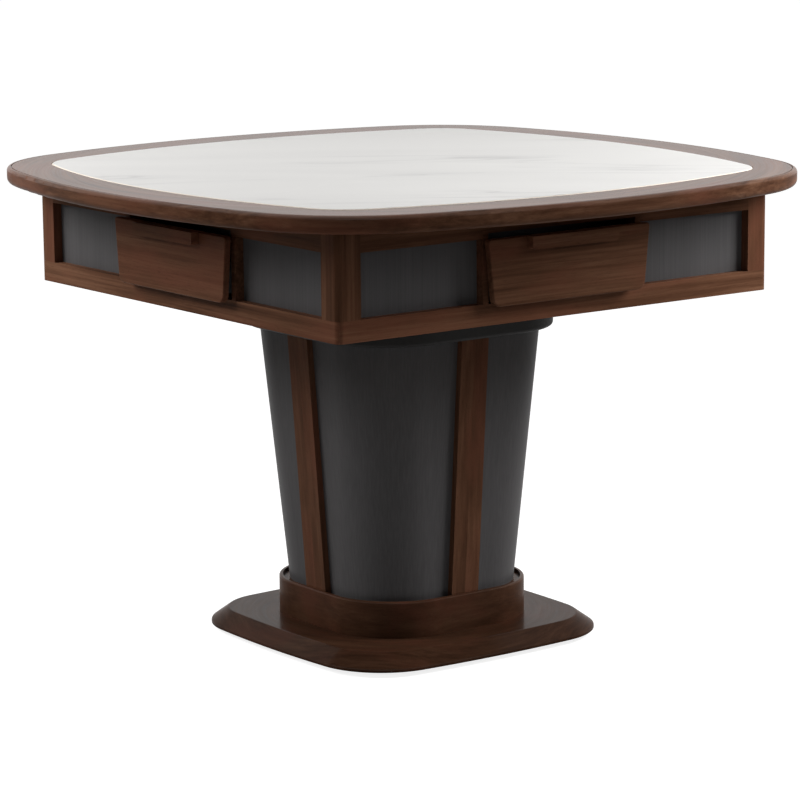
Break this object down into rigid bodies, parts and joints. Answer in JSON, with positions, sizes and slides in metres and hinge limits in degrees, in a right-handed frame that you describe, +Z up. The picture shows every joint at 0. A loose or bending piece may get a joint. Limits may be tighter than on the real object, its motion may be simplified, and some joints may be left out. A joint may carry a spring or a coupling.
{
  "type": "automatic mahjong table",
  "caption": "Pedestal mahjong table with a lift-off stone-topped dining cover over a playing board, drawers, tile lifts, a shuffling drum and a rising console with dice.",
  "frame": {"origin": "on the floor under the middle of the base", "axes": "+Z up; the front is the -Y side; the sides are alike and face -Y, +X, +Y and -X"},
  "size_m": [1.093, 1.093, 0.75],
  "materials": {
    "walnut": "dark reddish walnut, satin lacquer",
    "charcoal_panel": "charcoal stained veneer, low sheen",
    "base_lacquer": "dark brown gloss lacquer",
    "stone": "honed pale stone with faint grey veins",
    "inner_board": "bare board",
    "felt": "short pile",
    "weight_iron": "bare casting",
    "glide_plastic": "moulded",
    "frame_steel": "black powder coat",
    "head_paint": "black powder coat",
    "black_plastic": "moulded",
    "grey_plastic": "moulded",
    "lift_plastic": "moulded",
    "guide_brass": "turned",
    "motor_metal": "plated",
    "control_case": "moulded",
    "supply_case": "folded sheet",
    "bolt_steel": "zinc plated",
    "locator_rubber": "moulded",
    "console_plastic": "gloss",
    "clear_dome": "clear",
    "disc_plastic": "moulded",
    "dice_plastic": "polished",
    "button_plastic": "gloss",
    "drum_plastic": "moulded",
    "roller_rubber": "moulded",
    "wheel_plastic": "moulded",
    "switch_plastic": "gloss"
  },
  "bodies": {
    "table": {"base_plate": "base_lacquer", "base_weight": "weight_iron", "base_glides": "glide_plastic", "collar_ring": "base_lacquer", "column_core": "frame_steel", "column_panels": "charcoal_panel", "column_strips": "walnut", "pedestal_head": "head_paint", "case_floor": "inner_board", "corner_posts": "walnut", "bottom_rails": "walnut", "top_rails": "walnut", "apron_panels": "charcoal_panel", "drawer_surrounds": "walnut", "drawer_runners": "black_plastic", "board_supports": "inner_board", "playing_board": "inner_board", "playing_felt": "felt", "tile_wells": "black_plastic", "lift_guides": "guide_brass", "lift_motors": "motor_metal", "drum_housing": "grey_plastic", "drum_bearing": "guide_brass", "drum_motor": "motor_metal", "pickup_motors": "motor_metal", "control_unit": "control_case", "power_supply": "supply_case", "mains_inlet": "black_plastic", "bolts": "bolt_steel"},
    "cover": {"cover_stone": "stone", "cover_rim": "walnut", "cover_board": "inner_board", "cover_locators": "locator_rubber"},
    "front_drawer": {"drawer_front_front": "walnut", "drawer_box_front": "grey_plastic"},
    "right_drawer": {"drawer_front_right": "walnut", "drawer_box_right": "grey_plastic"},
    "back_drawer": {"drawer_front_back": "walnut", "drawer_box_back": "grey_plastic"},
    "left_drawer": {"drawer_front_left": "walnut", "drawer_box_left": "grey_plastic"},
    "front_tile_lift": {"tile_lift_front": "lift_plastic"},
    "right_tile_lift": {"tile_lift_right": "lift_plastic"},
    "back_tile_lift": {"tile_lift_back": "lift_plastic"},
    "left_tile_lift": {"tile_lift_left": "lift_plastic"},
    "console": {"console_body": "console_plastic", "console_dome": "clear_dome"},
    "dice_tray": {"dice_disc": "disc_plastic", "dice": "dice_plastic"},
    "front_button": {"console_button_front": "button_plastic"},
    "right_button": {"console_button_right": "button_plastic"},
    "back_button": {"console_button_back": "button_plastic"},
    "left_button": {"console_button_left": "button_plastic"},
    "drum": {"drum": "drum_plastic"},
    "roller": {"drive_roller": "roller_rubber"},
    "wheel_back_right": {"pickup_wheel_back_right": "wheel_plastic"},
    "wheel_back_left": {"pickup_wheel_back_left": "wheel_plastic"},
    "wheel_front_left": {"pickup_wheel_front_left": "wheel_plastic"},
    "wheel_front_right": {"pickup_wheel_front_right": "wheel_plastic"},
    "switch_rocker": {"mains_switch": "switch_plastic"}
  },
  "joints": [
    {"name": "cover_lift", "type": "slide", "parent": "table", "child": "cover", "axis": [0, 0, 1], "range_m": [0, 0.15]},
    {"name": "front_drawer_slide", "type": "slide", "parent": "table", "child": "front_drawer", "axis": [0, -1, 0], "range_m": [0, 0.1]},
    {"name": "right_drawer_slide", "type": "slide", "parent": "table", "child": "right_drawer", "axis": [1, 0, 0], "range_m": [0, 0.1]},
    {"name": "back_drawer_slide", "type": "slide", "parent": "table", "child": "back_drawer", "axis": [0, 1, 0], "range_m": [0, 0.1]},
    {"name": "left_drawer_slide", "type": "slide", "parent": "table", "child": "left_drawer", "axis": [-1, 0, 0], "range_m": [0, 0.1]},
    {"name": "front_tile_lift_slide", "type": "slide", "parent": "table", "child": "front_tile_lift", "axis": [0, 0, -1], "range_m": [0, 0.044]},
    {"name": "right_tile_lift_slide", "type": "slide", "parent": "table", "child": "right_tile_lift", "axis": [0, 0, -1], "range_m": [0, 0.044]},
    {"name": "back_tile_lift_slide", "type": "slide", "parent": "table", "child": "back_tile_lift", "axis": [0, 0, -1], "range_m": [0, 0.044]},
    {"name": "left_tile_lift_slide", "type": "slide", "parent": "table", "child": "left_tile_lift", "axis": [0, 0, -1], "range_m": [0, 0.044]},
    {"name": "console_lift", "type": "slide", "parent": "table", "child": "console", "axis": [0, 0, 1], "range_m": [0, 0.06]},
    {"name": "dice_spin", "type": "hinge", "parent": "console", "child": "dice_tray", "pos_m": [0, 0, 0.6942], "axis": [0, 0, 1], "continuous": true},
    {"name": "front_button_press", "type": "slide", "parent": "console", "child": "front_button", "axis": [0, 0, -1], "range_m": [0, 0.002], "stiffness_N_per_m": 300, "springref_m": -0.001},
    {"name": "right_button_press", "type": "slide", "parent": "console", "child": "right_button", "axis": [0, 0, -1], "range_m": [0, 0.002], "stiffness_N_per_m": 300, "springref_m": -0.001},
    {"name": "back_button_press", "type": "slide", "parent": "console", "child": "back_button", "axis": [0, 0, -1], "range_m": [0, 0.002], "stiffness_N_per_m": 300, "springref_m": -0.001},
    {"name": "left_button_press", "type": "slide", "parent": "console", "child": "left_button", "axis": [0, 0, -1], "range_m": [0, 0.002], "stiffness_N_per_m": 300, "springref_m": -0.001},
    {"name": "drum_spin", "type": "hinge", "parent": "table", "child": "drum", "pos_m": [0, 0, 0.592], "axis": [0, 0, 1], "continuous": true},
    {"name": "roller_spin", "type": "hinge", "parent": "table", "child": "roller", "pos_m": [0.135, 0, 0.586], "axis": [0, 0, 1], "continuous": true},
    {"name": "wheel_back_right_spin", "type": "hinge", "parent": "table", "child": "wheel_back_right", "pos_m": [0.17819, 0.17819, 0.64], "axis": [-0.7071, 0.7071, 0], "continuous": true},
    {"name": "wheel_back_left_spin", "type": "hinge", "parent": "table", "child": "wheel_back_left", "pos_m": [-0.17819, 0.17819, 0.64], "axis": [-0.7071, -0.7071, 0], "continuous": true},
    {"name": "wheel_front_left_spin", "type": "hinge", "parent": "table", "child": "wheel_front_left", "pos_m": [-0.17819, -0.17819, 0.64], "axis": [0.7071, -0.7071, 0], "continuous": true},
    {"name": "wheel_front_right_spin", "type": "hinge", "parent": "table", "child": "wheel_front_right", "pos_m": [0.17819, -0.17819, 0.64], "axis": [0.7071, 0.7071, 0], "continuous": true},
    {"name": "mains_switch_rock", "type": "hinge", "parent": "table", "child": "switch_rocker", "pos_m": [-0.016, 0.206, 0.52925], "axis": [1, 0, 0], "range_deg": [0, 8]}
  ],
  "couplings": [
    {"joint": "console_lift", "follows": "cover_lift", "ratio": 0.4},
    {"joint": "roller_spin", "follows": "drum_spin", "ratio": 10}
  ]
}
